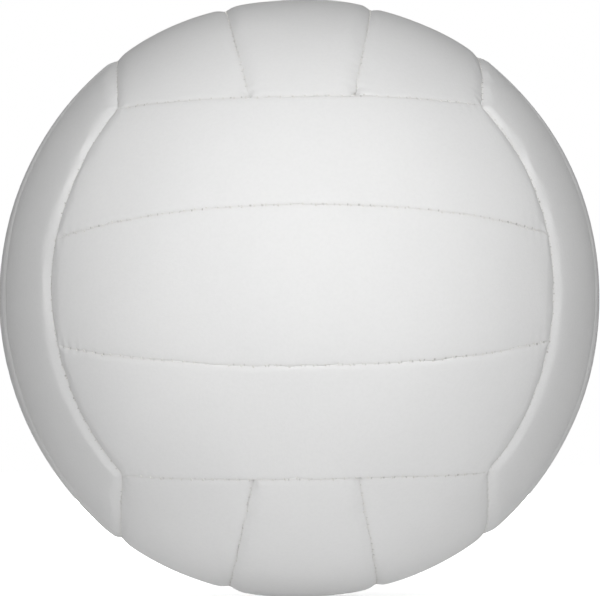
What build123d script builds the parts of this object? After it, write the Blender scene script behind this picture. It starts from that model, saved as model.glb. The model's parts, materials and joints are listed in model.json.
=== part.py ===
from build123d import *

import math
import os

# Volleyball of the classic cut: six faces of three strips each, like a cube blown up into a ball.
# The strips of neighbouring faces lie square to each other, so every face is the same set of three
# panels turned into place. Each panel is a synthetic leather skin whose edges fold inwards; the folded
# edges are stitched back to back through real holes, a foam backing lies inside each skin, and a rubber
# bladder with its needle valve fills the ball.
# The origin is the ball's centre. -Y is the front face, whose strips lie level, and +Z is up.
# A face is modelled in its own frame: X along its strips, Y across them, Z outwards through its middle.
# Lengths are in millimetres and angles in degrees.

# Ball and panel skin
BALL_RADIUS = 105.0
PANEL_THICKNESS = 1.2
FOLD_RADIUS = 1.8
FLANGE_WIDTH = 2.5
SEAM_GAP = 0.2

# Seams: the middle of the seam at the strips' ends, seen from the face's middle,
# and the plane of the seam between two strips
END_SEAM_ANGLE = 53.0
STRIP_SEAM_TILT = 12.3
STRIP_SEAM_OFFSET = 3.6

# Foam backing
FOAM_THICKNESS = 3.8
FOAM_EDGE_ROUND = 1.5
FOAM_CLEARANCE = 0.1

# Stitching
THREAD_THICKNESS = 0.6
THREAD_WIDTH = 1.0
STITCH_WIDTH = 0.6
STITCH_PITCH = 5.0
STITCH_END_MARGIN = 4.0
STITCH_HOLE_CLEARANCE = 0.05
THREAD_CLEARANCE = 0.05
THREAD_OVERRUN = 0.8

# Bladder
BLADDER_THICKNESS = 0.9
BLADDER_CLEARANCE = 0.3

# Inflation valve, in the middle of the back face
VALVE_RADIUS = 4.2
VALVE_RECESS = 0.4
VALVE_STEM_LENGTH = 16.0
VALVE_FLANGE_RADIUS = 13.0
VALVE_FLANGE_THICKNESS = 1.2
VALVE_HOLE_CLEARANCE = 0.15
VALVE_BOND_GAP = 0.05
PLUG_RADIUS = 2.6
PLUG_COLLAR_RADIUS = 3.4
PLUG_COLLAR_LENGTH = 2.5
PLUG_CLEARANCE = 0.05
NEEDLE_BORE_RADIUS = 1.0
NEEDLE_MOUTH_RADIUS = 1.7
NEEDLE_MOUTH_DEPTH = 0.9
SLIT_WIDTH = 0.2
SLIT_LENGTH = 2.6

# Sizes that follow from those above
EDGE_ROUND = FOLD_RADIUS + PANEL_THICKNESS
FLANGE_DEPTH = EDGE_ROUND + FLANGE_WIDTH
WALL_INSET = SEAM_GAP / 2
STITCH_LINE_RADIUS = BALL_RADIUS - EDGE_ROUND - FLANGE_WIDTH / 2
THREAD_OFFSET = WALL_INSET + PANEL_THICKNESS + THREAD_CLEARANCE + THREAD_THICKNESS / 2
FOAM_INSET = THREAD_OFFSET + THREAD_THICKNESS / 2 + FOAM_CLEARANCE
FOAM_OUTER_RADIUS = BALL_RADIUS - PANEL_THICKNESS - FOAM_CLEARANCE
FOAM_INNER_RADIUS = FOAM_OUTER_RADIUS - FOAM_THICKNESS
BLADDER_RADIUS = min(FOAM_INNER_RADIUS, BALL_RADIUS - FLANGE_DEPTH) - BLADDER_CLEARANCE
BLADDER_INNER_RADIUS = BLADDER_RADIUS - BLADDER_THICKNESS
VALVE_TOP = BALL_RADIUS - VALVE_RECESS
VALVE_FOOT = VALVE_TOP - VALVE_STEM_LENGTH
SPAN = 1.2 * BALL_RADIUS
ON_BALL_TOLERANCE = 1e-4

# A face's corners are a cube's corners, so all three coordinates of their directions are equal.
# The end seam is the circle through two corners and the seam's middle; seen from the ball's centre
# it is a cone whose axis leans away from that seam by END_CONE_TILT.
CORNER = 1 / math.sqrt(3)
END_RISE_OUT = math.cos(math.radians(END_SEAM_ANGLE)) - CORNER
END_RISE_ALONG = math.sin(math.radians(END_SEAM_ANGLE)) - CORNER
END_CONE_TILT = math.degrees(math.atan2(END_RISE_OUT, END_RISE_ALONG))
END_CONE_ANGLE = math.degrees(
    math.acos(CORNER * (math.cos(math.radians(END_CONE_TILT)) - math.sin(math.radians(END_CONE_TILT))))
)
LOW = (Align.CENTER, Align.CENTER, Align.MIN)

# Each face: the way it looks, the way its strips run, and the names of its three strips,
# from the strip on the -Y side of the face's own frame to the one on its +Y side
FACES = {
    "front": ((0, -1, 0), (1, 0, 0), ("lower", "middle", "upper")),
    "back": ((0, 1, 0), (1, 0, 0), ("upper", "middle", "lower")),
    "left": ((-1, 0, 0), (0, 0, 1), ("front", "middle", "rear")),
    "right": ((1, 0, 0), (0, 0, 1), ("rear", "middle", "front")),
    "top": ((0, 0, 1), (0, 1, 0), ("right", "middle", "left")),
    "bottom": ((0, 0, -1), (0, 1, 0), ("left", "middle", "right")),
}
END_NAMES = {
    "front": ("right", "left"),
    "back": ("right", "left"),
    "left": ("top", "bottom"),
    "right": ("top", "bottom"),
    "top": ("back", "front"),
    "bottom": ("back", "front"),
}
VALVE_FACE = "back"


def sine(angle):
    return math.sin(math.radians(angle))


def cosine(angle):
    return math.cos(math.radians(angle))


def ball(radius):
    """A ball with its poles and its surface's own seam turned away from the face's middle."""
    return Rot(Y=90) * Sphere(radius)


def end_cone(inset):
    """Everything on the face's side of its end seam, towards +X, drawn in by inset."""
    shift = inset / sine(END_CONE_ANGLE)
    reach = SPAN * math.tan(math.radians(END_CONE_ANGLE))
    return END_FRAME * Pos(0, 0, shift) * Cone(0, reach, SPAN, align=LOW)


def between_strip_seams(inset):
    """A prism along the strips, between the two seams of the middle strip, drawn in by inset."""
    foot = (STRIP_SEAM_OFFSET - inset) / cosine(STRIP_SEAM_TILT)
    rim = foot + SPAN * math.tan(math.radians(STRIP_SEAM_TILT))
    outline = Polyline((-foot, 0), (foot, 0), (rim, SPAN), (-rim, SPAN), close=True)
    return extrude(Plane.YZ * make_face(outline), SPAN, both=True)


def beyond_strip_seam(inset):
    """A prism along the strips, on the outer side of the +Y strip seam, drawn in by inset."""
    foot = (STRIP_SEAM_OFFSET + inset) / cosine(STRIP_SEAM_TILT)
    rim = foot + SPAN * math.tan(math.radians(STRIP_SEAM_TILT))
    outline = Polyline((foot, 0), (SPAN, 0), (SPAN, SPAN), (rim, SPAN), close=True)
    return extrude(Plane.YZ * make_face(outline), SPAN, both=True)


def panel_block(strip, radius, inset):
    """The ball's sector under one panel, out to radius, with its walls drawn in by inset."""
    block = ball(radius) & end_cone(inset) & (HALF_TURN * end_cone(inset))
    if strip == "middle":
        return block & between_strip_seams(inset)
    return block & beyond_strip_seam(inset) - NEIGHBOUR * end_cone(-inset)


def rounded(block, radius, edge_round):
    """The block with the edges round its outer face rolled over."""
    def on_ball(point):
        return abs(point.length - radius) < ON_BALL_TOLERANCE

    rim = [edge for edge in block.edges() if all(on_ball(edge @ share) for share in (0, 0.5, 1))]
    return fillet(rim, edge_round)


def panel_skin(strip):
    """Synthetic leather with its four edges folded inwards into flanges."""
    skin_radius = BALL_RADIUS - PANEL_THICKNESS
    outside = rounded(panel_block(strip, BALL_RADIUS, WALL_INSET), BALL_RADIUS, EDGE_ROUND)
    inside = panel_block(strip, skin_radius, WALL_INSET + PANEL_THICKNESS)
    return outside - rounded(inside, skin_radius, FOLD_RADIUS) - ball(BALL_RADIUS - FLANGE_DEPTH)


def foam_pad(strip):
    """Foam and lining cloth, cut to lie inside the skin and clear of the stitching."""
    block = panel_block(strip, FOAM_OUTER_RADIUS, FOAM_INSET)
    return rounded(block, FOAM_OUTER_RADIUS, FOAM_EDGE_ROUND) - ball(FOAM_INNER_RADIUS)


class Seam:
    """A stitched seam: a circle of this radius and height about its frame's Z axis.
    Its walls lean from that axis by half_angle, which is 90 on the flat seam between two strips."""

    def __init__(self, frame, radius, height, half_angle):
        self.frame = frame
        self.radius = radius
        self.height = height
        self.half_angle = half_angle

    def moved(self, place):
        return Seam(place * self.frame, self.radius, self.height, self.half_angle)

    def stitch(self, angle, width):
        """One flat bar of thread of this width across the seam, through both flanges."""
        arc = math.degrees(width / self.radius)
        section = self.place(0) * Rectangle(2 * THREAD_OFFSET, width)
        return self.frame * Rot(Z=angle - arc / 2) * revolve(section, Axis.Z, arc)

    def place(self, offset):
        """The place in the seam's section this far from the seam, towards the side of its axis.
        Its X is across the seam and its Y along the flanges."""
        radius = self.radius - offset * cosine(self.half_angle)
        return Plane.XZ * Pos(radius, self.height + offset * sine(self.half_angle)) * Rot(Z=-self.half_angle)

    def thread(self, side, angles):
        """The flat thread along one side of the seam, from the first of these stitches to the last."""
        overrun = math.degrees(THREAD_OVERRUN / self.radius)
        first = min(angles) - overrun
        arc = max(angles) - min(angles) + 2 * overrun
        section = self.place(side * THREAD_OFFSET) * Rectangle(THREAD_THICKNESS, THREAD_WIDTH)
        return self.frame * Rot(Z=first) * revolve(section, Axis.Z, arc)

    def spaced(self, low, high):
        """Angles of evenly spaced stitches between two ends of a flange, clear of both."""
        margin = math.degrees(STITCH_END_MARGIN / self.radius)
        pitch = math.degrees(STITCH_PITCH / self.radius)
        steps = max(1, round((high - low - 2 * margin) / pitch))
        return [low + margin + (high - low - 2 * margin) * i / steps for i in range(steps + 1)]


def end_seam():
    radius = STITCH_LINE_RADIUS * sine(END_CONE_ANGLE)
    return Seam(END_FRAME, radius, STITCH_LINE_RADIUS * cosine(END_CONE_ANGLE), END_CONE_ANGLE)


def strip_seam():
    frame = Rot(X=-90 - STRIP_SEAM_TILT) * Pos(0, 0, STRIP_SEAM_OFFSET) * Rot(Z=-90)
    return Seam(frame, math.sqrt(STITCH_LINE_RADIUS**2 - STRIP_SEAM_OFFSET**2), 0, 90)


def junction_angles():
    """Where a strip seam runs into the end seam: the angle along the end seam, and along the strip seam."""
    across = cosine(STRIP_SEAM_TILT) * sine(END_CONE_ANGLE)
    out = sine(STRIP_SEAM_TILT) * sine(END_CONE_ANGLE) * sine(END_CONE_TILT)
    lift = sine(STRIP_SEAM_TILT) * cosine(END_CONE_ANGLE) * cosine(END_CONE_TILT)
    level = STRIP_SEAM_OFFSET / STITCH_LINE_RADIUS + lift
    on_end = math.degrees(math.asin(level / math.hypot(across, out)) + math.atan2(out, across))
    along = (
        sine(END_CONE_ANGLE) * cosine(on_end) * cosine(END_CONE_TILT)
        - cosine(END_CONE_ANGLE) * sine(END_CONE_TILT)
    )
    on_strip = math.degrees(math.asin(along * STITCH_LINE_RADIUS / strip_seam().radius))
    return on_end, on_strip


def corner_angle():
    """Where the end seam reaches the face's corner, along that seam."""
    return math.degrees(math.atan2(1, cosine(END_CONE_TILT) + sine(END_CONE_TILT)))


def stitching_of(seam, outer_side, inner_sides):
    """One seam's sewing: a thread along each side of it, joined by the stitches through both flanges."""
    angles = [angle for group in inner_sides for angle in group]
    pieces = [seam.thread(1, group) for group in inner_sides]
    pieces += [seam.thread(-1, group) for group in outer_side]
    pieces += [seam.stitch(angle, STITCH_WIDTH) for angle in angles]
    return pieces[0].fuse(*pieces[1:])


def valve_housing():
    """Rubber stem with a flange that is bonded to the inside of the bladder."""
    stem = Pos(0, 0, VALVE_FOOT) * Cylinder(VALVE_RADIUS, VALVE_STEM_LENGTH, align=LOW)
    flange_radius = BLADDER_INNER_RADIUS - VALVE_BOND_GAP
    flange = Cylinder(VALVE_FLANGE_RADIUS, SPAN, align=LOW) & ball(flange_radius)
    flange = flange - ball(flange_radius - VALVE_FLANGE_THICKNESS)
    return stem + flange - Cylinder(PLUG_RADIUS + PLUG_CLEARANCE, SPAN, align=LOW)


def valve_plug():
    """Soft rubber plug with the needle's way in, held by a collar under the stem and closed by a slit."""
    collar_top = VALVE_FOOT - PLUG_CLEARANCE
    collar_foot = collar_top - PLUG_COLLAR_LENGTH
    body = Pos(0, 0, collar_foot) * Cylinder(PLUG_RADIUS, VALVE_TOP - collar_foot, align=LOW)
    collar = Pos(0, 0, collar_foot) * Cylinder(PLUG_COLLAR_RADIUS, PLUG_COLLAR_LENGTH, align=LOW)
    bore = Pos(0, 0, collar_top) * Cylinder(NEEDLE_BORE_RADIUS, VALVE_TOP - collar_top, align=LOW)
    mouth = Pos(0, 0, VALVE_TOP - NEEDLE_MOUTH_DEPTH) * Cone(
        NEEDLE_BORE_RADIUS, NEEDLE_MOUTH_RADIUS, NEEDLE_MOUTH_DEPTH, align=LOW
    )
    slit = Pos(0, 0, collar_foot) * Box(SLIT_LENGTH, SLIT_WIDTH, PLUG_COLLAR_LENGTH, align=LOW)
    return body + collar - bore - mouth - slit


def valve_hole():
    return Cylinder(VALVE_RADIUS + VALVE_HOLE_CLEARANCE, SPAN, align=LOW)


def save(shape, node):
    shape.label = node
    export_step(shape, f"parts/{node}.step", write_pcurves=False)


END_FRAME = Rot(Y=-END_CONE_TILT)
HALF_TURN = Rot(Z=180)
NEIGHBOUR = Plane((0, 0, 0), x_dir=(0, 0, 1), z_dir=(0, 1, 0)).location


def main():
    os.makedirs("parts", exist_ok=True)

    # Where the stitches go: three groups along each end seam, one for each strip, and one along a strip seam
    end, strip = end_seam(), strip_seam()
    on_end, on_strip = junction_angles()
    corner = corner_angle()
    outer_strip = end.spaced(on_end, corner)
    middle_strip = end.spaced(-on_end, on_end)
    end_groups = [[-angle for angle in outer_strip], middle_strip, outer_strip]
    all_end = sorted(angle for group in end_groups for angle in group)
    strip_group = strip.spaced(-on_strip, on_strip)

    def holes(seam, angles):
        return [seam.stitch(angle, STITCH_WIDTH + 2 * STITCH_HOLE_CLEARANCE) for angle in angles]

    def both_ends(angles):
        return holes(end, angles) + holes(end.moved(HALF_TURN), [-angle for angle in angles])

    strip_holes = holes(strip, strip_group)
    other_strip_holes = [HALF_TURN * hole for hole in strip_holes]
    middle_holes = strip_holes + other_strip_holes + both_ends(middle_strip)
    side_holes = strip_holes + both_ends(outer_strip) + holes(end.moved(NEIGHBOUR), all_end)
    middle_skin = panel_skin("middle") - middle_holes
    side_skin = panel_skin("side") - side_holes
    middle_foam, side_foam = foam_pad("middle"), foam_pad("side")
    strip_stitching = stitching_of(strip, [strip_group], [strip_group])
    end_stitching = stitching_of(end, [all_end], end_groups)

    for face, (outwards, along, strips) in FACES.items():
        place = Plane((0, 0, 0), x_dir=along, z_dir=outwards).location
        for name, turn, skin, foam in (
            (strips[0], HALF_TURN, side_skin, side_foam),
            (strips[1], Location(), middle_skin, middle_foam),
            (strips[2], Location(), side_skin, side_foam),
        ):
            if face == VALVE_FACE and name == "middle":
                skin, foam = skin - valve_hole(), foam - valve_hole()
            save(place * turn * skin, f"{face}_{name}_panel")
            save(place * turn * foam, f"{face}_{name}_foam")
        both_strips = Compound(children=[place * strip_stitching, place * HALF_TURN * strip_stitching])
        save(both_strips, f"{face}_strip_stitching")
        for name, turn in zip(END_NAMES[face], (Location(), HALF_TURN)):
            save(place * turn * end_stitching, f"{face}_{name}_edge_stitching")

    outwards, along, _ = FACES[VALVE_FACE]
    place = Plane((0, 0, 0), x_dir=along, z_dir=outwards).location
    bladder_hole = Cylinder(VALVE_RADIUS + VALVE_BOND_GAP, SPAN, align=LOW)
    save(place * (ball(BLADDER_RADIUS) - ball(BLADDER_INNER_RADIUS) - bladder_hole), "bladder")
    save(place * valve_housing(), "valve_housing")
    save(place * valve_plug(), "valve_plug")


main()
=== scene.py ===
import json
import math
from collections import namedtuple

import bpy
import numpy as np
from mathutils import Matrix


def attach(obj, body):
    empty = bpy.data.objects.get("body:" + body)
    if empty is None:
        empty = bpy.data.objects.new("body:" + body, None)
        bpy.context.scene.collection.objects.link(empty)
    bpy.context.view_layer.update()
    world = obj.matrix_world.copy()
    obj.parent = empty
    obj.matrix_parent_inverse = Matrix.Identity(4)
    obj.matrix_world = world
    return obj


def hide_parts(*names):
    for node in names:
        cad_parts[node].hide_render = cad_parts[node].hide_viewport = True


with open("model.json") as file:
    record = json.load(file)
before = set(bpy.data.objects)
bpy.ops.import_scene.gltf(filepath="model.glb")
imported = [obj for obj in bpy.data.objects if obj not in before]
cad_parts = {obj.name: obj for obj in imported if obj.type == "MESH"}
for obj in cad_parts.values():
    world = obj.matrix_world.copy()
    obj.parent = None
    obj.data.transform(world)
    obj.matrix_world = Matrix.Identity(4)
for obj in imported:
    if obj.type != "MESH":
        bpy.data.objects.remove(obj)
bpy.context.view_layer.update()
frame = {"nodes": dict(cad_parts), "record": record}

MM = 0.001

# The ball's radius comes from the spot it rests on, and the valve's axis and bore from its needle mount
mounts = {mount["name"]: mount for mount in frame["record"]["mounts"]}
BALL_RADIUS = -mounts["resting_spot"]["pos_m"][2]
VALVE_AXIS = np.array(mounts["valve_needle_bore"]["axis"], float)
BORE_RADIUS = mounts["valve_needle_bore"]["dims"]["r_mm"] * MM

# Each face: the way it looks, the way its strips run, and the names of its three strips from -Y to +Y
# in the face's own frame of X along the strips, Y across them and Z outwards
FACES = {
    "front": ((0, -1, 0), (1, 0, 0), ("lower", "middle", "upper")),
    "back": ((0, 1, 0), (1, 0, 0), ("upper", "middle", "lower")),
    "left": ((-1, 0, 0), (0, 0, 1), ("front", "middle", "rear")),
    "right": ((1, 0, 0), (0, 0, 1), ("rear", "middle", "front")),
    "top": ((0, 0, 1), (0, 1, 0), ("right", "middle", "left")),
    "bottom": ((0, 0, -1), (0, 1, 0), ("left", "middle", "right")),
}
VALVE_FACE = "back"

# The faces that a face's strips run to at their -X and +X ends
END_NAMES = {
    "front": ("left", "right"),
    "back": ("left", "right"),
    "left": ("bottom", "top"),
    "right": ("bottom", "top"),
    "top": ("front", "back"),
    "bottom": ("front", "back"),
}

# The middle of the seam at the strips' ends, as its angle from the middle of a left or right, a front or
# back, and a top or bottom face, and the plane of the seam between two strips
END_SEAM_ANGLES = tuple(math.radians(angle) for angle in (53.0, 52.6, 53.7))
STRIP_SEAM_TILT = math.radians(12.3)
STRIP_SEAM_OFFSET = 3.6 * MM
STRIP_POLE_ANGLE = math.acos(STRIP_SEAM_OFFSET / BALL_RADIUS)

# How a panel goes down into its seam, in millimetres: it rises beside the seam, then falls softly, rolls
# over and ends in a tight crease. Both panels of a seam meet at the same depth. Each kind of edge has its
# folds for the seams of the left and right, the front and back, and the top and bottom face.
Fold = namedtuple("Fold", "rise soft roll roll_width crease")
MIDDLE_STRIP_FOLDS = (
    Fold(rise=0.05, soft=0.40, roll=0.60, roll_width=3.8, crease=0.06),
    Fold(rise=0.00, soft=0.25, roll=0.12, roll_width=2.6, crease=0.06),
    Fold(rise=0.30, soft=0.50, roll=0.95, roll_width=4.6, crease=0.06),
)
OUTER_STRIP_FOLDS = (
    Fold(rise=0.00, soft=0.25, roll=0.70, roll_width=3.2, crease=0.06),
    Fold(rise=0.00, soft=0.06, roll=0.31, roll_width=2.0, crease=0.06),
    Fold(rise=0.00, soft=0.25, roll=0.90, roll_width=3.4, crease=0.06),
)
STRIP_END_FOLDS = (
    Fold(rise=0.45, soft=0.50, roll=0.95, roll_width=4.4, crease=0.08),
    Fold(rise=0.15, soft=0.45, roll=0.55, roll_width=4.8, crease=0.06),
    Fold(rise=0.02, soft=0.05, roll=0.12, roll_width=2.6, crease=0.06),
)
LONG_SIDE_FOLDS = (
    Fold(rise=-0.12, soft=0.25, roll=0.63, roll_width=4.4, crease=0.08),
    Fold(rise=0.30, soft=0.04, roll=1.17, roll_width=4.7, crease=0.00),
    Fold(rise=0.00, soft=0.03, roll=0.12, roll_width=2.0, crease=0.06),
)
RISE_REACH = 16 * MM
SOFT_WIDTH = 10 * MM
ROLL_STEEPNESS = 1.45
CREASE_WIDTH = 0.25 * MM
SEAM_BLEND = 0.05 * MM

# The blown-up ball stands out over the cube's edges, more so on the right, and is a little flat on top
EDGE_BULGE = 0.72 * MM
EDGE_BULGE_LEAN = 0.3
TOP_FLATNESS = 0.85 * MM

# Unevenness of the sewn cover: how large each kind is, how long its waves are and what it starts from
SEAM_WANDER = 0.18 * MM
SEAM_WANDER_LENGTH = 42 * MM
SEAM_WANDER_SEEDS = (11, 12, 13)
SEAM_WOBBLE = 0.13 * MM
SEAM_WOBBLE_LENGTH = 8 * MM
SEAM_WOBBLE_SEEDS = (21, 22, 23)
SWELL = 0.10 * MM
SWELL_LENGTH = 48 * MM
SWELL_SEED = 31
PUCKER = 0.09 * MM
PUCKER_REACH = 3.0 * MM
PUCKER_UNEVENNESS = 0.25
PUCKER_CHANGE_LENGTH = 20 * MM
PUCKER_CHANGE_SEED = 42
GAP_LEAST = -0.02 * MM
GAP_MOST = 0.08 * MM
GAP_REACH = 0.8 * MM
GAP_UNEVENNESS = 0.35
GAP_CHANGE_LENGTH = 14 * MM
GAP_CHANGE_SEED = 41
CREASE_UNEVENNESS = 0.7
CREASE_MOST = 2
ROLL_UNEVENNESS = 0.18
ROLL_CHANGE_LENGTH = 15 * MM
ROLL_CHANGE_SEED = 43
ROLL_CHANGE_MOST = 2

# Panel skin and foam backing
SKIN_THICKNESS = 1.2 * MM
FLANGE_DEPTH = 5.5 * MM
FOAM_INSET = 2.3 * MM
FOAM_TOP_DEPTH = 1.5 * MM
FOAM_THICKNESS = 3.5 * MM
FOAM_EDGE_ROUND = 1.5 * MM

# Stitches across the seams. Their slant is a share of their span.
STITCH_PITCH = 3.9 * MM
SEAM_END_CLEARANCE = 4.5 * MM
THREAD_RADIUS = 0.26 * MM
THREAD_SPAN = 0.65 * MM
THREAD_ARCH = 0.25 * MM
THREAD_SLANT = 0.35

# Bladder. Its moulding ridges have a height as a share of its radius, and a width as an angle.
BLADDER_RADIUS = 99.2 * MM
BLADDER_THICKNESS = 0.9 * MM
RIDGE_HEIGHT = 0.0012
RIDGE_WIDTH = 0.02

# Valve stem with its flange under the bladder, its plug, and the hole and the dimple in the cover
VALVE_RADIUS = 4.2 * MM
VALVE_LENGTH = 15.95 * MM
VALVE_TOP_DEPTH = 0.45 * MM
VALVE_TOP = BALL_RADIUS - VALVE_TOP_DEPTH
VALVE_FOOT = VALVE_TOP - VALVE_LENGTH
STEM_CLEARANCE = 0.05 * MM
FLANGE_RADIUS = 13.0 * MM
FLANGE_THICKNESS = 1.2 * MM
FLANGE_CLEARANCE = 0.05 * MM
FLANGE_TOP = BLADDER_RADIUS - BLADDER_THICKNESS - FLANGE_CLEARANCE
PLUG_RADIUS = 2.6 * MM
PLUG_CLEARANCE = 0.05 * MM
COLLAR_RADIUS = 3.4 * MM
COLLAR_LENGTH = 2.5 * MM
MOUTH_RADIUS = 1.7 * MM
MOUTH_DEPTH = 0.9 * MM
LIP_ROUND = 0.35 * MM
VALVE_HOLE_RADIUS = 4.4 * MM
VALVE_HOLE_ROUND = 0.5 * MM
VALVE_CUT_BELOW = 20 * MM
VALVE_CUT_ABOVE = 10 * MM
VALVE_DIMPLE_DEPTH = 0.5 * MM
VALVE_DIMPLE_RADIUS = 9.0 * MM

# Fineness of the meshes
CLOSE_TO_SEAM = [distance * MM for distance in (0, 0.12, 0.28, 0.5, 0.85, 1.3, 1.9, 2.5, 3.1, 3.8, 4.8)]
PANEL_STEP_ALONG = 1.3 * MM
PANEL_STEP_ACROSS = 1.6 * MM
INNER_EVERY = 6
CLOSE_TO_FOAM_EDGE = [0, 0.3 * MM, 0.8 * MM, FOAM_EDGE_ROUND, 4 * MM]
FOAM_STEP_ALONG = 6 * MM
FOAM_STEP_ACROSS = 5 * MM
THREAD_SIDES = 7
THREAD_RINGS = 5
BLADDER_SEGMENTS = 160
BLADDER_STEPS = 60
VALVE_SEGMENTS = 72
VALVE_HOLE_SEGMENTS = 96
CORNER_POINTS = 5

# Dust and painted shade in the creases, and the painted shade of the stitches' small holes: places along the
# seam are shares of the stitches' pitch, and a hole's painted shade begins and is full at these shares of the
# crease darkening
SEAM_DUST_AND_SHADE = (0.745, 0.74, 0.73, 1)
DUST_AND_SHADE_REACH = 0.35 * MM
STITCH_HOLE_SHADE = (0.36, 0.35, 0.33, 1)
STITCH_HOLE_PLACE = 0.3
STITCH_HOLE_CORE = 0.02
STITCH_HOLE_RIM = 0.14
STITCH_HOLES_CLOSED = 0.5
STITCH_HOLE_BEGINS = 0.2
STITCH_HOLE_FULL = 0.6
EDGE_NUMBERING = 1000

# The camera of the photograph: its picture, and where the ball is in it
CAMERA_DISTANCE = 10.65 * BALL_RADIUS
CAMERA_YAW = math.radians(1.02)
CAMERA_PITCH = math.radians(-2.25)
CAMERA_ROLL = math.radians(-0.60)
IMAGE_WIDTH, IMAGE_HEIGHT = 600, 596
BALL_CENTRE_PX = (299.39, 297.28)
BALL_RADIUS_PX = 299.82
SENSOR_WIDTH = 36.0

# Floor, which is white except close to the ball, and the light from all round
WHITE = (1, 1, 1, 1)
FLOOR_SIZE = 6.0
FLOOR_GREY = 0.74
FLOOR_ROUGHNESS = 0.8
FLOOR_WHITENESS_NEAR = 0.12
FLOOR_WHITENESS_FAR = 1.0
FLOOR_WHITENESS_REACH = 1.9 * BALL_RADIUS
FLOOR_GLOW_NEAR = 0.20
FLOOR_GLOW_FAR = 0.08
FLOOR_GLOW_REACH = 2.2 * BALL_RADIUS
SURROUND = 0.02

# Soft lamps that look at the ball, in degrees, metres and watts, with the azimuth from the front towards +X
Lamp = namedtuple("Lamp", "azimuth elevation distance width height power")
LAMPS = {
    "key": Lamp(azimuth=2, elevation=20, distance=1.35, width=1.0, height=0.7, power=2.4),
    "front_wide": Lamp(azimuth=3, elevation=11, distance=1.6, width=2.5, height=0.6, power=13.6),
    "overhead": Lamp(azimuth=-3, elevation=49, distance=1.35, width=1.8, height=0.8, power=7.9),
    "left_fill": Lamp(azimuth=-122, elevation=8, distance=1.5, width=0.8, height=0.8, power=0.45),
    "right_fill": Lamp(azimuth=122, elevation=8, distance=1.5, width=0.8, height=0.8, power=0.65),
    "rear": Lamp(azimuth=180, elevation=14, distance=1.6, width=1.6, height=0.6, power=0.8),
    "back_fill": Lamp(azimuth=180, elevation=3, distance=1.5, width=0.4, height=0.3, power=13.0),
}


# Seams and panels on the ball


def unit(vectors):
    """The vectors scaled to length 1."""
    return vectors / np.linalg.norm(vectors, axis=-1, keepdims=True)


class Ripple:
    """Smooth noise over the ball, of about one wavelength and unit strength, as a sum of plane waves."""

    WAVES = 16
    SPREAD = (0.7, 1.3)

    def __init__(self, seed, wavelength):
        rng = np.random.default_rng(seed)
        turns = BALL_RADIUS / wavelength * rng.uniform(*self.SPREAD, (self.WAVES, 1))
        self.vectors = 2 * np.pi * turns * unit(rng.normal(size=(self.WAVES, 3)))
        self.phases = rng.uniform(0, 2 * np.pi, self.WAVES)

    def __call__(self, directions):
        waves = np.sin(directions @ self.vectors.T + self.phases)
        return waves.sum(axis=-1) * math.sqrt(2 / self.WAVES)


class Edge:
    """One edge of a panel: the circle at this angle from a pole. side is 1 for a panel on the pole's side
    and -1 for one beyond the circle."""

    OFF_EVERY_POLE = (0.31, 0.52, 0.79)

    def __init__(self, pole, angle, side, fold):
        self.pole = pole
        self.angle = angle
        self.side = side
        self.fold = fold
        self.east = unit(np.cross(pole, self.OFF_EVERY_POLE))
        self.north = np.cross(pole, self.east)
        self.stitches = round(2 * math.pi * math.sin(angle) * BALL_RADIUS / STITCH_PITCH)

    def drawn_in(self, distance):
        """The edge moved into the panel."""
        return Edge(self.pole, self.angle - self.side * distance / BALL_RADIUS, self.side, self.fold)

    def inset(self, directions):
        """How far inside this edge the directions meet the ball."""
        leaning = np.arccos(np.clip(directions @ self.pole, -1, 1))
        return self.side * (self.angle - leaning) * BALL_RADIUS

    def inwards(self, directions):
        """Unit vectors along the ball from the edge into the panel."""
        return self.side * unit(self.pole - (directions @ self.pole)[..., None] * directions)

    def stitch_phase(self, directions):
        """A multiple of a full turn at each stitch of this seam."""
        return self.stitches * np.arctan2(directions @ self.north, directions @ self.east)

    def stitch_directions(self):
        """Where the stitches are on the whole circle."""
        turns = 2 * math.pi * np.arange(self.stitches)[:, None] / self.stitches
        ring = np.cos(turns) * self.east + np.sin(turns) * self.north
        return math.cos(self.angle) * self.pole + math.sin(self.angle) * ring


def face_axes(face):
    """The X, Y and Z axes of a face's own frame."""
    outwards, along, _ = FACES[face]
    across = np.cross(outwards, along)
    return np.array([along, across, outwards], float)


def of_face(choices, outwards):
    """The one of three choices that is for the seams of the face that looks this way."""
    return choices[int(np.argmax(np.abs(outwards)))]


def seam_fold(folds, outwards):
    """The fold, in metres, of the face that looks this way."""
    return Fold(*(size * MM for size in of_face(folds, outwards)))


def end_circle(outwards):
    """Tilt of the pole and angle of the circle that an end seam follows, through two corners of a cube."""
    middle = of_face(END_SEAM_ANGLES, outwards)
    corner = 1 / math.sqrt(3)
    tilt = math.atan2(math.cos(middle) - corner, math.sin(middle) - corner)
    return tilt, math.acos(corner * (math.cos(tilt) - math.sin(tilt)))


def end_edge(axes, end):
    """The edge at the strips' -X or +X end of a face."""
    tilt, angle = end_circle(axes[2])
    pole = np.array([-end * math.sin(tilt), 0, math.cos(tilt)]) @ axes
    return Edge(pole, angle, 1, seam_fold(STRIP_END_FOLDS, axes[2]))


def strip_edge(axes, row, side):
    """The edge along the -Y or +Y seam of a face's middle strip."""
    pole = np.array([0, row * math.cos(STRIP_SEAM_TILT), -math.sin(STRIP_SEAM_TILT)]) @ axes
    folds = OUTER_STRIP_FOLDS if side > 0 else MIDDLE_STRIP_FOLDS
    return Edge(pole, STRIP_POLE_ANGLE, side, seam_fold(folds, axes[2]))


def long_edge(axes, row):
    """The edge where a face's outer strip meets the neighbouring face's strip ends."""
    tilt, angle = end_circle(axes[1])
    pole = np.array([0, row * math.cos(tilt), -math.sin(tilt)]) @ axes
    return Edge(pole, angle, -1, seam_fold(LONG_SIDE_FOLDS, axes[1]))


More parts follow.
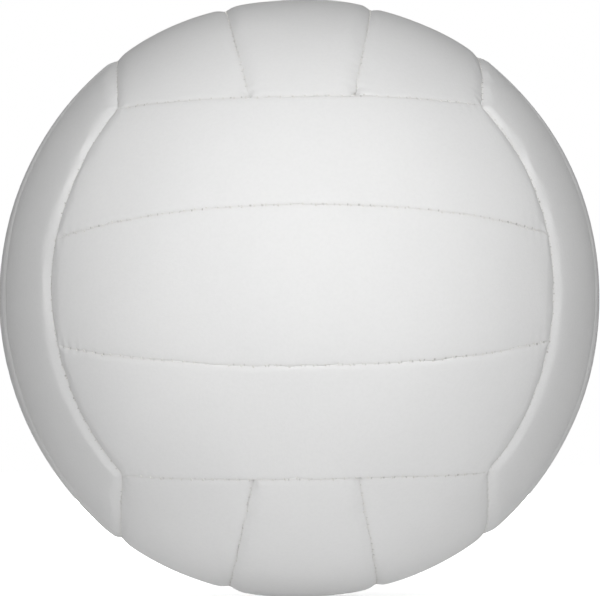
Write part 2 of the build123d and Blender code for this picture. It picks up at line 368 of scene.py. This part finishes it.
def panel_edges(axes, row):
    """The -X, +X, -Y and +Y edges of the strip in row -1, 0 or 1 of a face."""
    ends = [end_edge(axes, -1), end_edge(axes, 1)]
    if row == 0:
        return ends + [strip_edge(axes, -1, -1), strip_edge(axes, 1, -1)]
    sides = [strip_edge(axes, row, 1), long_edge(axes, row)]
    return ends + sides[::row]


# The search for a panel's points starts from about these half sizes of a strip and this distance between
# strips, as shares of the radius, in a plane that touches the ball in the middle of the face
HALF_STRIP_LENGTH = 1.15
HALF_STRIP_WIDTH = 0.28
STRIP_DISTANCE = 0.56
SEARCH_ROUNDS = 30
SEARCH_PROBE = 1e-6
LONGEST_STEP = 0.2


def panel_directions(axes, edges, along, across):
    """Where the ball is at these shares of the way between a panel's opposite edges, found step by step."""

    def shares(p, q):
        directions = unit(p[..., None] * axes[0] + q[..., None] * axes[1] + axes[2])
        west, east, south, north = (edge.inset(directions) for edge in edges)
        return directions, west / (west + east), south / (south + north)

    # The middle of the face is outside the seam between an outer strip and the middle one
    row = float(edges[2].inset(axes[2]) < 0) - float(edges[3].inset(axes[2]) < 0)
    p = HALF_STRIP_LENGTH * (2 * along - 1)
    q = STRIP_DISTANCE * row + HALF_STRIP_WIDTH * (2 * across - 1)
    for _ in range(SEARCH_ROUNDS):
        _, u, v = shares(p, q)
        _, u_p, v_p = shares(p + SEARCH_PROBE, q)
        _, u_q, v_q = shares(p, q + SEARCH_PROBE)
        u_by_p, u_by_q = (u_p - u) / SEARCH_PROBE, (u_q - u) / SEARCH_PROBE
        v_by_p, v_by_q = (v_p - v) / SEARCH_PROBE, (v_q - v) / SEARCH_PROBE
        spread = u_by_p * v_by_q - u_by_q * v_by_p
        u_miss, v_miss = u - along, v - across
        p = p - np.clip((v_by_q * u_miss - u_by_q * v_miss) / spread, -LONGEST_STEP, LONGEST_STEP)
        q = q - np.clip((u_by_p * v_miss - v_by_p * u_miss) / spread, -LONGEST_STEP, LONGEST_STEP)
    return shares(p, q)[0]


# The cover's surface


wander = [Ripple(seed, SEAM_WANDER_LENGTH) for seed in SEAM_WANDER_SEEDS]
wobble = [Ripple(seed, SEAM_WOBBLE_LENGTH) for seed in SEAM_WOBBLE_SEEDS]
swell = Ripple(SWELL_SEED, SWELL_LENGTH)
gap_change = Ripple(GAP_CHANGE_SEED, GAP_CHANGE_LENGTH)
pucker_change = Ripple(PUCKER_CHANGE_SEED, PUCKER_CHANGE_LENGTH)
roll_change = Ripple(ROLL_CHANGE_SEED, ROLL_CHANGE_LENGTH)


def wandered(directions):
    """The directions moved along the ball, alike on both sides of a seam, so that seams wander together."""
    shift = np.stack([SEAM_WANDER * ripple(directions) for ripple in wander], axis=-1)
    shift += np.stack([SEAM_WOBBLE * ripple(directions) for ripple in wobble], axis=-1)
    shift /= BALL_RADIUS
    along_ball = shift - (shift * directions).sum(axis=-1, keepdims=True) * directions
    return unit(directions + along_ball)


def seam_sink(edges, directions):
    """How deep the cover lies below the ball's surface near its seams. Close to a seam only its own fold
    counts, so that both of its panels meet at the same depth."""
    tightness = np.clip(1 + CREASE_UNEVENNESS * gap_change(directions), 0, CREASE_MOST)
    change = np.clip(roll_change(directions), -ROLL_CHANGE_MOST, ROLL_CHANGE_MOST)
    widening = 1 + ROLL_UNEVENNESS * change
    sink, shares = 0, 0
    for edge in edges:
        fold = edge.fold
        inset = np.maximum(edge.inset(directions), 0)
        depth = fold.soft * (1 - np.minimum(inset / SOFT_WIDTH, 1)) ** 2
        depth += fold.roll * (1 - np.minimum(inset / (fold.roll_width * widening), 1)) ** ROLL_STEEPNESS
        depth += fold.crease * tightness * np.exp(-inset / CREASE_WIDTH)
        depth -= fold.rise * np.exp(-((inset / RISE_REACH) ** 2))
        share = 1 / (inset**2 + SEAM_BLEND**2)
        sink = sink + share * depth
        shares = shares + share
    return sink / shares


def ball_shape(directions):
    """How far the blown-up ball stands out from a true ball, with its swells and the dimple at the valve."""
    squareness = (directions**4).sum(axis=-1)
    bulge = EDGE_BULGE * (1 + EDGE_BULGE_LEAN * directions[..., 0]) * 2 * (1 - squareness)
    flat = TOP_FLATNESS * np.maximum(directions[..., 2], 0) ** 4
    from_valve = np.arccos(np.clip(directions @ VALVE_AXIS, -1, 1)) * BALL_RADIUS
    dimple = VALVE_DIMPLE_DEPTH * np.exp(-((from_valve / VALVE_DIMPLE_RADIUS) ** 2))
    return bulge - flat - dimple + SWELL * swell(directions)


def cover_points(edges, directions):
    """The outer surface of the sewn cover in these directions, puckered and pulled open along its seams."""
    radius = BALL_RADIUS + ball_shape(directions) - seam_sink(edges, directions)
    shift = np.zeros_like(directions)
    for edge in edges:
        inset = np.maximum(edge.inset(directions), 0)
        phase = edge.stitch_phase(directions)
        strength = (1 - PUCKER_UNEVENNESS) + PUCKER_UNEVENNESS * pucker_change(directions)
        radius -= PUCKER * strength * np.cos(phase) * np.exp(-inset / PUCKER_REACH)
        opening = np.clip(0.5 - 0.5 * np.cos(phase) + GAP_UNEVENNESS * gap_change(directions), 0, 1)
        gap = GAP_LEAST + (GAP_MOST - GAP_LEAST) * opening**3
        shift += edge.inwards(directions) * (gap / 2 * np.exp(-inset / GAP_REACH))[..., None]
    return unit(wandered(directions) + shift / BALL_RADIUS) * radius[..., None]


# Meshes


def lines(length, step, close):
    """Shares of a length, evenly stepped in its middle and at these close distances from both ends."""
    close = np.array(close)
    inner = length - 2 * close[-1]
    count = max(2, math.ceil(inner / step))
    middle = close[-1] + inner * np.arange(1, count) / count
    return np.concatenate([close, middle, length - close[::-1]]) / length


def grid_loop(count_u, count_v):
    """Indices of a grid's outer vertices, counter-clockwise, for vertices stored row by row."""
    south = [(i, 0) for i in range(count_u)]
    east = [(count_u - 1, j) for j in range(1, count_v)]
    north = [(i, count_v - 1) for i in range(count_u - 2, -1, -1)]
    west = [(0, j) for j in range(count_v - 2, 0, -1)]
    return [i * count_v + j for i, j in south + east + north + west]


def grid_faces(count_u, count_v, first, flipped):
    """Quads of a grid whose vertices are stored row by row from the first index on."""
    faces = []
    for i in range(count_u - 1):
        for j in range(count_v - 1):
            a = first + i * count_v + j
            face = (a, a + count_v, a + count_v + 1, a + 1)
            faces.append(face[::-1] if flipped else face)
    return faces


def ring_faces(loop, following):
    """Quads from one loop of vertices to a following loop of as many."""
    count = len(loop)
    return [(loop[k], following[k], following[(k + 1) % count], loop[(k + 1) % count]) for k in range(count)]


def fan_faces(fine, coarse, taken):
    """Triangles between a fine loop and a coarse one, whose vertex k faces the fine vertex taken[k]."""
    faces = []
    count = len(fine)
    for k, start in enumerate(taken):
        stop = taken[k + 1] if k + 1 < len(taken) else count
        half = (start + stop) // 2
        after = coarse[(k + 1) % len(coarse)]
        for m in range(start, stop):
            corner = coarse[k] if m < half else after
            faces.append((fine[m], corner, fine[(m + 1) % count]))
        faces.append((coarse[k], after, fine[half % count]))
    return faces


def lathe(profile, segments, ridge=None):
    """A closed outline of (radius, height) points turned about the valve's axis.
    ridge, where given, is a function of the turn, and adds its share to every radius."""
    side = unit(np.cross(VALVE_AXIS, (0.0, 0.0, 1.0)))
    other = np.cross(VALVE_AXIS, side)
    points, rows = [], []
    for radius, height in profile:
        if radius == 0:
            rows.append([len(points)] * segments)
            points.append(VALVE_AXIS * height)
            continue
        rows.append(list(range(len(points), len(points) + segments)))
        for k in range(segments):
            turn = 2 * math.pi * k / segments
            spread = 1 + (ridge(turn) if ridge else 0)
            outwards = math.cos(turn) * side + math.sin(turn) * other
            points.append(outwards * radius * spread + VALVE_AXIS * height)
    faces = []
    for upper, lower in zip(rows, rows[1:] + rows[:1]):
        for corners in ring_faces(upper, lower):
            face = list(dict.fromkeys(corners))
            if len(face) > 2:
                faces.append(face)
    return np.array(points), faces


def rounded_corner(centre, radius, start, stop):
    """Points of an arc in an outline, from one angle to another in degrees."""
    turns = np.radians(np.linspace(start, stop, CORNER_POINTS))
    return [(centre[0] + radius * math.cos(turn), centre[1] + radius * math.sin(turn)) for turn in turns]


def new_mesh(name, points, faces):
    """A mesh of these vertices and faces."""
    mesh = bpy.data.meshes.new(name)
    mesh.from_pydata([tuple(point) for point in points], [], faces)
    return mesh


def new_object(name, data):
    """An object in the scene for a mesh, a lamp or a camera."""
    thing = bpy.data.objects.new(name, data)
    bpy.context.collection.objects.link(thing)
    return thing


def new_piece(name, points, faces, material, slot):
    """A smooth piece of the ball."""
    mesh = new_mesh(name, points, faces)
    mesh.polygons.foreach_set("use_smooth", [True] * len(mesh.polygons))
    mesh.materials.append(material)
    piece = new_object(name, mesh)
    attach(piece, "root")
    return piece


# Materials. The scale of a texture is how many of its features lie along a metre.


def new_material(name):
    """A material, its node tree and its shader."""
    material = bpy.data.materials.new(name)
    material.use_nodes = True
    tree = material.node_tree
    return material, tree, tree.nodes["Principled BSDF"]


def add(tree, kind, inputs=None, **settings):
    """A new node with these settings, and with values or links for its inputs."""
    node = tree.nodes.new(kind)
    for name, value in settings.items():
        setattr(node, name, value)
    for name, value in (inputs or {}).items():
        if isinstance(value, bpy.types.NodeSocket):
            tree.links.new(value, node.inputs[name])
        else:
            node.inputs[name].default_value = value
    return node


def place_on(tree):
    """The place on the object, in metres."""
    return add(tree, "ShaderNodeTexCoord").outputs["Object"]


def stored(tree, name):
    """A value that is stored with the mesh's vertices."""
    return add(tree, "ShaderNodeAttribute", attribute_name=name).outputs["Fac"]


def noise(tree, place, scale, detail):
    """Soft noise between 0 and 1."""
    return add(tree, "ShaderNodeTexNoise", {"Vector": place, "Scale": scale, "Detail": detail}).outputs["Fac"]


def combine(tree, operation, first, second):
    """Two values combined by a sum, a product or the like."""
    return add(tree, "ShaderNodeMath", {0: first, 1: second}, operation=operation).outputs[0]


def fade(tree, value, start, stop, low=0.0, high=1.0):
    """Goes from low to high while the value goes from start to stop."""
    span = {"Value": value, "From Min": start, "From Max": stop, "To Min": low, "To Max": high}
    return add(tree, "ShaderNodeMapRange", span).outputs["Result"]


def mix(tree, factor, first, second, blend="MIX"):
    """A blend of two colours."""
    inputs = {"Factor": factor, "A": first, "B": second}
    return add(tree, "ShaderNodeMix", inputs, data_type="RGBA", blend_type=blend).outputs["Result"]


def ramp(tree, source, stops):
    """A colour ramp through these (place, colour) stops."""
    node = add(tree, "ShaderNodeValToRGB", {"Fac": source})
    elements = node.color_ramp.elements
    while len(elements) < len(stops):
        elements.new(0.5)
    for element, (place, colour) in zip(elements, stops):
        element.position = place
        element.color = (*colour, 1)
    return node.outputs["Color"]


def raise_surface(tree, shader, height, strength, distance, invert=False):
    """Gives a surface a relief of this height, which stands for this distance."""
    inputs = {"Height": height, "Strength": strength, "Distance": distance}
    bump = add(tree, "ShaderNodeBump", inputs, invert=invert)
    tree.links.new(bump.outputs["Normal"], shader.inputs["Normal"])


def grey(value):
    """A colour without tint."""
    return (value, value, value)


def stitch_hole_shade(tree, seam):
    """How much painted shade of a stitch's hole is here: small dark spots in the crease, some of them closed
    up.
    """
    placed = combine(tree, "ADD", stored(tree, "stitch"), STITCH_HOLE_PLACE)
    away = combine(tree, "PINGPONG", placed, 0.5)
    spot = fade(tree, away, STITCH_HOLE_CORE, STITCH_HOLE_RIM, 1.0, 0.0)
    number = combine(tree, "SNAP", placed, 1.0)
    chance = add(tree, "ShaderNodeTexWhiteNoise", {"W": number}, noise_dimensions="1D").outputs["Value"]
    opened = fade(tree, chance, STITCH_HOLES_CLOSED, 1.0)
    deep = fade(tree, seam, STITCH_HOLE_BEGINS, STITCH_HOLE_FULL)
    return combine(tree, "MULTIPLY", combine(tree, "MULTIPLY", spot, opened), deep)


def leather_material():
    """White synthetic leather: fine embossed grain, faint cloudiness, dust with painted shade in the seams,
    and painted shade of the stitch holes.
    """
    material, tree, shader = new_material("white_synthetic_leather")
    place = place_on(tree)
    clouds = noise(tree, place, 22.0, 4.0)
    cloudy = ramp(tree, clouds, [(0.3, (0.798, 0.799, 0.798)), (0.7, (0.815, 0.815, 0.812))])
    specks = noise(tree, place, 900.0, 3.0)
    speckled = ramp(tree, specks, [(0.35, grey(0.985)), (0.6, grey(1.0))])
    clean = mix(tree, 1.0, cloudy, speckled, "MULTIPLY")
    seam = stored(tree, "seam")
    # Dust and painted shade darken the leather towards each seam's crease
    dusty_and_shaded = mix(tree, seam, clean, SEAM_DUST_AND_SHADE)
    # Painted shade of the stitch holes: small dark spots laid into the leather's colour in the crease
    sewn = mix(tree, stitch_hole_shade(tree, seam), dusty_and_shaded, STITCH_HOLE_SHADE)
    tree.links.new(sewn, shader.inputs["Base Color"])
    smooth = ramp(tree, clouds, [(0.3, grey(0.58)), (0.7, grey(0.64))])
    tree.links.new(smooth, shader.inputs["Roughness"])
    shader.inputs["Specular IOR Level"].default_value = 0.25
    cells = add(tree, "ShaderNodeTexVoronoi", {"Vector": place, "Scale": 1500.0}, feature="SMOOTH_F1")
    pores = noise(tree, place, 2600.0, 2.0)
    grain = combine(tree, "ADD", cells.outputs["Distance"], pores)
    raise_surface(tree, shader, grain, 0.10, 0.2 * MM)
    return material


def thread_material():
    """Waxed white thread with its twist showing."""
    material, tree, shader = new_material("waxed_thread")
    waves = {"Vector": place_on(tree), "Scale": 900.0, "Distortion": 2.0}
    twist = add(tree, "ShaderNodeTexWave", waves, bands_direction="DIAGONAL").outputs["Fac"]
    colour = ramp(tree, twist, [(0.2, (0.62, 0.61, 0.58)), (0.8, (0.80, 0.79, 0.77))])
    tree.links.new(colour, shader.inputs["Base Color"])
    shader.inputs["Roughness"].default_value = 0.62
    raise_surface(tree, shader, twist, 0.4, 0.1 * MM)
    return material


def foam_material():
    """Cream foam with open cells."""
    material, tree, shader = new_material("cream_foam")
    cells = add(tree, "ShaderNodeTexVoronoi", {"Vector": place_on(tree), "Scale": 700.0}).outputs["Distance"]
    colour = ramp(tree, cells, [(0.1, (0.80, 0.77, 0.68)), (0.6, (0.62, 0.59, 0.50))])
    tree.links.new(colour, shader.inputs["Base Color"])
    shader.inputs["Roughness"].default_value = 0.9
    raise_surface(tree, shader, cells, 0.5, 0.5 * MM, invert=True)
    return material


def rubber_material(name, dark, light, roughness):
    """Moulded rubber with a faint mottle and a fine matt texture."""
    material, tree, shader = new_material(name)
    place = place_on(tree)
    mottle = noise(tree, place, 160.0, 5.0)
    tree.links.new(ramp(tree, mottle, [(0.3, dark), (0.7, light)]), shader.inputs["Base Color"])
    shader.inputs["Roughness"].default_value = roughness
    raise_surface(tree, shader, noise(tree, place, 2400.0, 2.0), 0.15, 0.2 * MM)
    return material


leather = leather_material()
thread = thread_material()
foam = foam_material()
bladder_rubber = rubber_material("black_butyl_rubber", grey(0.028), grey(0.05), 0.6)
valve_rubber = rubber_material("pale_valve_rubber", (0.60, 0.60, 0.58), (0.68, 0.68, 0.66), 0.55)


# Cover panels and their foam backings


def panel_shell(axes, edges, length, width):
    """Vertices and faces of a closed panel: its outer surface, its folded edges and its inner side."""
    u = lines(length, PANEL_STEP_ALONG, CLOSE_TO_SEAM)
    v = lines(width, PANEL_STEP_ACROSS, CLOSE_TO_SEAM)
    along, across = np.meshgrid(u, v, indexing="ij")
    directions = panel_directions(axes, edges, along, across)
    outer = cover_points(edges, directions).reshape(-1, 3)
    loop = grid_loop(len(u), len(v))
    flange_foot = unit(outer[loop]) * (BALL_RADIUS - FLANGE_DEPTH)

    inner_edges = [edge.drawn_in(SKIN_THICKNESS) for edge in edges]
    pick_u = sorted({*range(0, len(u), INNER_EVERY), len(u) - 1})
    pick_v = sorted({*range(0, len(v), INNER_EVERY), len(v) - 1})
    along_inner, across_inner = np.meshgrid(u[pick_u], v[pick_v], indexing="ij")
    inner_directions = panel_directions(axes, inner_edges, along_inner, across_inner)
    depth = SKIN_THICKNESS + seam_sink(edges, inner_directions)
    inner = wandered(inner_directions) * (BALL_RADIUS + ball_shape(inner_directions) - depth)[..., None]
    inner = inner.reshape(-1, 3)
    inner_loop = grid_loop(len(pick_u), len(pick_v))
    inner_foot = unit(inner[inner_loop]) * (BALL_RADIUS - FLANGE_DEPTH)

    points = np.concatenate([outer, flange_foot, inner_foot, inner])
    first_foot = len(outer)
    first_inner_foot = first_foot + len(flange_foot)
    first_inner = first_inner_foot + len(inner_foot)
    foot = list(range(first_foot, first_inner_foot))
    inner_foot_loop = list(range(first_inner_foot, first_inner))
    inner_rim = [first_inner + k for k in inner_loop]

    place = {index: k for k, index in enumerate(loop)}
    fine_of = [pick_u[index // len(pick_v)] * len(v) + pick_v[index % len(pick_v)] for index in inner_loop]
    taken = [place[index] for index in fine_of]

    faces = grid_faces(len(u), len(v), 0, False)
    faces += ring_faces(loop, foot)
    faces += fan_faces(foot, inner_foot_loop, taken)
    faces += ring_faces(inner_foot_loop, inner_rim)
    faces += grid_faces(len(pick_u), len(pick_v), first_inner, True)
    return points, faces


def foam_shell(axes, edges, length, width):
    """Vertices and faces of a foam backing, with its upper edges rounded over."""
    u = lines(length, FOAM_STEP_ALONG, CLOSE_TO_FOAM_EDGE)
    v = lines(width, FOAM_STEP_ACROSS, CLOSE_TO_FOAM_EDGE)
    along, across = np.meshgrid(u, v, indexing="ij")
    drawn = [edge.drawn_in(FOAM_INSET) for edge in edges]
    directions = panel_directions(axes, drawn, along, across)
    sink = 0
    for edge in drawn:
        roll = 1 - np.minimum(np.maximum(edge.inset(directions), 0) / FOAM_EDGE_ROUND, 1)
        sink = sink + (FOAM_EDGE_ROUND * (1 - np.sqrt(1 - roll**2))) ** 2
    top_radius = BALL_RADIUS + ball_shape(directions) - FOAM_TOP_DEPTH - np.sqrt(sink)
    foot_radius = BALL_RADIUS - FOAM_TOP_DEPTH - FOAM_THICKNESS
    settled = wandered(directions)
    top = (settled * top_radius[..., None]).reshape(-1, 3)
    foot = (settled * foot_radius).reshape(-1, 3)
    loop = grid_loop(len(u), len(v))
    foot_loop = [len(top) + k for k in loop]
    faces = grid_faces(len(u), len(v), 0, False)
    faces += ring_faces(loop, foot_loop)
    faces += grid_faces(len(u), len(v), len(top), True)
    return np.concatenate([top, foot]), faces


def store(piece, name, values):
    """Stores a value with each vertex of a piece."""
    attribute = piece.data.attributes.new(name, "FLOAT", "POINT")
    attribute.data.foreach_set("value", values.astype(np.float32))


def mark_seams(piece, edges):
    """Stores how close each vertex is to a seam's crease, and which stitch of that seam it is at."""
    points = np.empty(len(piece.data.vertices) * 3)
    piece.data.vertices.foreach_get("co", points)
    directions = unit(points.reshape(-1, 3))
    insets = np.abs([edge.inset(directions) for edge in edges])
    store(piece, "seam", np.exp(-insets.min(axis=0) / DUST_AND_SHADE_REACH))
    counted = [edge.stitch_phase(directions) / (2 * math.pi) for edge in edges]
    numbered = [count + EDGE_NUMBERING * k for k, count in enumerate(counted)]
    store(piece, "stitch", np.choose(insets.argmin(axis=0), numbered))


def cut_valve_hole(piece):
    """Cuts the round hole for the valve, with its outer rim rounded over."""
    low = BALL_RADIUS - VALVE_CUT_BELOW
    high = BALL_RADIUS + VALVE_CUT_ABOVE
    flare_radius = VALVE_HOLE_RADIUS + VALVE_HOLE_ROUND
    flare_height = BALL_RADIUS - VALVE_DIMPLE_DEPTH - VALVE_HOLE_ROUND
    outline = [
        (0, high),
        (0, low),
        (VALVE_HOLE_RADIUS, low),
        *rounded_corner((flare_radius, flare_height), VALVE_HOLE_ROUND, 180, 90),
        (flare_radius, high),
    ][::-1]
    cutter = new_object("valve_hole", new_mesh("valve_hole", *lathe(outline, VALVE_HOLE_SEGMENTS)))
    cut = piece.modifiers.new("valve_hole", "BOOLEAN")
    cut.operation = "DIFFERENCE"
    cut.object = cutter
    cut.solver = "EXACT"
    result = bpy.data.meshes.new_from_object(piece.evaluated_get(bpy.context.evaluated_depsgraph_get()))
    piece.modifiers.clear()
    piece.data = result
    bpy.data.objects.remove(cutter)


def arc_length(first, second):
    """The way along the ball from one direction to another."""
    return math.acos(max(-1.0, min(1.0, float(np.dot(first, second))))) * BALL_RADIUS


for face, (_, _, strips) in FACES.items():
    axes = face_axes(face)
    for row, strip in zip((-1, 0, 1), strips):
        edges = panel_edges(axes, row)
        ends = panel_directions(axes, edges, np.array([0.0, 1.0]), np.array([0.5, 0.5]))
        sides = panel_directions(axes, edges, np.array([0.5, 0.5]), np.array([0.0, 1.0]))
        size = (arc_length(*ends), arc_length(*sides))
        skin = panel_shell(axes, edges, *size)
        panel = new_piece(f"{face}_{strip}_cover", *skin, leather, "panel_leather")
        padding = foam_shell(axes, edges, *size)
        backing = new_piece(f"{face}_{strip}_backing", *padding, foam, "backing_foam")
        if face == VALVE_FACE and row == 0:
            cut_valve_hole(panel)
            cut_valve_hole(backing)
        mark_seams(panel, edges)
        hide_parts(f"{face}_{strip}_panel")
        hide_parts(f"{face}_{strip}_foam")


# Thread in the seams


def seam_stitches(edge, limits, towards):
    """Vertices and faces of the stitches that cross a seam, low in its crease, along its stretch between
    two other edges on one side of the ball."""
    points, faces = [], []
    depth = edge.fold.soft + edge.fold.roll + edge.fold.crease - edge.fold.rise
    for direction in edge.stitch_directions():
        from_end = min(limit.inset(direction) for limit in limits)
        if from_end <= SEAM_END_CLEARANCE or direction @ towards <= 0:
            continue
        across = edge.inwards(direction)
        along = np.cross(direction, across)
        across = unit(across + THREAD_SLANT * along)
        along = np.cross(direction, across)
        centre = wandered(direction[None])[0]
        crease_radius = BALL_RADIUS + ball_shape(direction) - depth
        first = len(points)
        for ring in range(THREAD_RINGS):
            share = 2 * ring / (THREAD_RINGS - 1) - 1
            height = crease_radius + THREAD_ARCH * (1 - share**2) - THREAD_RADIUS
            middle = centre * height + across * share * THREAD_SPAN
            for k in range(THREAD_SIDES):
                turn = 2 * math.pi * k / THREAD_SIDES
                points.append(middle + THREAD_RADIUS * (math.cos(turn) * centre + math.sin(turn) * along))
        starts = [first + ring * THREAD_SIDES for ring in range(THREAD_RINGS)]
        rings = [list(range(start, start + THREAD_SIDES)) for start in starts]
        for loop, following in zip(rings, rings[1:]):
            faces += ring_faces(loop, following)
        faces.append(rings[0])
        faces.append(rings[-1][::-1])
    return np.array(points), faces


for face, (_, _, strips) in FACES.items():
    axes = face_axes(face)
    ends = [end_edge(axes, -1), end_edge(axes, 1)]
    sides = [long_edge(axes, -1), long_edge(axes, 1)]
    for row in (-1, 1):
        stitches = seam_stitches(strip_edge(axes, row, 1), ends, axes[2])
        new_piece(f"{face}_{strips[row + 1]}_seam_stitches", *stitches, thread, "stitching_thread")
    for end, name in zip((-1, 1), END_NAMES[face]):
        stitches = seam_stitches(end_edge(axes, end), sides, end * axes[0])
        new_piece(f"{face}_{name}_end_stitches", *stitches, thread, "stitching_thread")

for name, node in frame["nodes"].items():
    if name.endswith("_stitching"):
        node.data.materials.clear()
        node.data.materials.append(thread)


# Bladder and valve


def bladder_outline():
    """Wall of the bladder from the valve's stem round to the far pole and back inside."""
    inner = BLADDER_RADIUS - BLADDER_THICKNESS
    outside, inside = [], []
    for radius, wall in ((BLADDER_RADIUS, outside), (inner, inside)):
        start = math.asin((VALVE_RADIUS + STEM_CLEARANCE) / radius)
        for turn in np.linspace(start, math.pi, BLADDER_STEPS)[:-1]:
            wall.append((radius * math.sin(turn), radius * math.cos(turn)))
        wall.append((0, -radius))
    return outside + inside[::-1]


def moulding_ridge(turn):
    """Four raised lines of a bladder's mould."""
    away = (turn + math.pi / 4) % (math.pi / 2) - math.pi / 4
    return RIDGE_HEIGHT * math.exp(-((away / RIDGE_WIDTH) ** 2))


def ball_height(ball_radius, radius):
    """Height of a ball's surface at this distance from the valve's axis."""
    return math.sqrt(ball_radius**2 - radius**2)


def housing_outline():
    """Stem with rounded lips, and the domed flange under the bladder, from the stem's inner foot round."""
    inner = PLUG_RADIUS + PLUG_CLEARANCE
    flange_foot = FLANGE_TOP - FLANGE_THICKNESS
    lip = LIP_ROUND / 2
    return [
        (inner, VALVE_FOOT),
        (VALVE_RADIUS, VALVE_FOOT),
        (VALVE_RADIUS, ball_height(flange_foot, VALVE_RADIUS)),
        (FLANGE_RADIUS, ball_height(flange_foot, FLANGE_RADIUS)),
        (FLANGE_RADIUS, ball_height(FLANGE_TOP, FLANGE_RADIUS)),
        (VALVE_RADIUS, ball_height(FLANGE_TOP, VALVE_RADIUS)),
        *rounded_corner((VALVE_RADIUS - LIP_ROUND, VALVE_TOP - LIP_ROUND), LIP_ROUND, 0, 90),
        *rounded_corner((inner + lip, VALVE_TOP - lip), lip, 90, 180),
    ][::-1]


def plug_outline():
    """Plug with its collar under the stem, and the needle's mouth and bore, from the collar's foot round."""
    collar_top = VALVE_FOOT - PLUG_CLEARANCE
    collar_foot = collar_top - COLLAR_LENGTH
    lip = LIP_ROUND / 2
    return [
        (0, collar_foot),
        (COLLAR_RADIUS, collar_foot),
        (COLLAR_RADIUS, collar_top),
        (PLUG_RADIUS, collar_top),
        *rounded_corner((PLUG_RADIUS - lip, VALVE_TOP - lip), lip, 0, 90),
        *rounded_corner((MOUTH_RADIUS + lip, VALVE_TOP - lip), lip, 90, 150),
        (BORE_RADIUS, VALVE_TOP - MOUTH_DEPTH),
        (BORE_RADIUS, collar_top),
        (0, collar_top),
    ][::-1]


wall = lathe(bladder_outline(), BLADDER_SEGMENTS, moulding_ridge)
bladder = new_piece("inflated_bladder", *wall, bladder_rubber, "bladder_rubber")
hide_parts("bladder")
housing = new_piece("valve_stem", *lathe(housing_outline(), VALVE_SEGMENTS), valve_rubber, "valve_rubber")
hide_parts("valve_housing")
plug = new_piece("valve_insert", *lathe(plug_outline(), VALVE_SEGMENTS), valve_rubber, "valve_rubber")
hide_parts("valve_plug")


# Camera, floor, light and surroundings


def place_camera():
    """The camera of the photograph, from the ball's outline and seams in it."""
    roll = Matrix.Rotation(CAMERA_ROLL, 3, "Y")
    pitch = Matrix.Rotation(CAMERA_PITCH, 3, "X")
    yaw = Matrix.Rotation(CAMERA_YAW, 3, "Z")
    back = (roll @ pitch @ yaw).transposed()
    right, forward, up = back.col[0], back.col[1], back.col[2]
    data = bpy.data.cameras.new("camera")
    data.sensor_width = SENSOR_WIDTH
    data.sensor_fit = "HORIZONTAL"
    focal_px = BALL_RADIUS_PX * math.sqrt((CAMERA_DISTANCE / BALL_RADIUS) ** 2 - 1)
    data.lens = SENSOR_WIDTH * focal_px / IMAGE_WIDTH
    data.shift_x = (IMAGE_WIDTH / 2 - BALL_CENTRE_PX[0]) / IMAGE_WIDTH
    data.shift_y = (BALL_CENTRE_PX[1] - IMAGE_HEIGHT / 2) / IMAGE_WIDTH
    camera = new_object("camera", data)
    place = Matrix((right, up, -forward)).transposed().to_4x4()
    place.translation = -forward * CAMERA_DISTANCE
    camera.matrix_world = place
    bpy.context.scene.camera = camera


def camera_sees(tree):
    """1 for what the camera sees directly, and 0 for the light that falls on things."""
    return add(tree, "ShaderNodeLightPath").outputs["Is Camera Ray"]


def make_floor():
    """A pale floor that takes the ball's shadow and turns white away from it."""
    half = FLOOR_SIZE / 2
    corners = [(-half, -half), (half, -half), (half, half), (-half, half)]
    mesh = new_mesh("floor", [(x, y, -BALL_RADIUS) for x, y in corners], [(0, 1, 2, 3)])
    material, tree, shader = new_material("pale_floor")
    shader.inputs["Base Color"].default_value = (*grey(FLOOR_GREY), 1)
    shader.inputs["Roughness"].default_value = FLOOR_ROUGHNESS
    away = add(tree, "ShaderNodeVectorMath", {0: place_on(tree)}, operation="LENGTH").outputs["Value"]
    white = fade(tree, away, BALL_RADIUS, FLOOR_WHITENESS_REACH, FLOOR_WHITENESS_NEAR, FLOOR_WHITENESS_FAR)
    seen = combine(tree, "MULTIPLY", camera_sees(tree), white)
    near = fade(tree, away, BALL_RADIUS, FLOOR_GLOW_REACH, FLOOR_GLOW_NEAR, FLOOR_GLOW_FAR)
    glow = combine(tree, "ADD", seen, near)
    shine = add(tree, "ShaderNodeEmission", {"Color": WHITE, "Strength": glow})
    both = add(tree, "ShaderNodeAddShader", {0: shader.outputs[0], 1: shine.outputs[0]})
    tree.links.new(both.outputs[0], tree.nodes["Material Output"].inputs["Surface"])
    mesh.materials.append(material)
    floor = new_object("floor", mesh)


def make_surroundings():
    """White behind the ball, and an even faint light from all round."""
    world = bpy.data.worlds.new("studio")
    bpy.context.scene.world = world
    world.use_nodes = True
    tree = world.node_tree
    even = tree.nodes["Background"]
    even.inputs["Color"].default_value = WHITE
    even.inputs["Strength"].default_value = SURROUND
    white = add(tree, "ShaderNodeBackground", {"Color": WHITE, "Strength": 1.0})
    shown = add(tree, "ShaderNodeMixShader", {0: camera_sees(tree), 1: even.outputs[0], 2: white.outputs[0]})
    tree.links.new(shown.outputs[0], tree.nodes["World Output"].inputs["Surface"])


def make_lamp(name, lamp):
    """A rectangular soft light that looks at the ball's middle."""
    data = bpy.data.lights.new(name, "AREA")
    data.shape = "RECTANGLE"
    data.size = lamp.width
    data.size_y = lamp.height
    data.energy = lamp.power
    turn = math.radians(lamp.azimuth)
    rise = math.radians(lamp.elevation)
    away = np.array([math.sin(turn) * math.cos(rise), -math.cos(turn) * math.cos(rise), math.sin(rise)])
    right = unit(np.cross((0, 0, 1.0), away))
    up = np.cross(away, right)
    matrix = Matrix([right, up, away]).transposed().to_4x4()
    matrix.translation = lamp.distance * away
    new_object(name, data).matrix_world = matrix


place_camera()
make_floor()
make_surroundings()
for name, lamp in LAMPS.items():
    make_lamp(name, lamp)

bpy.context.scene.view_settings.view_transform = "Standard"
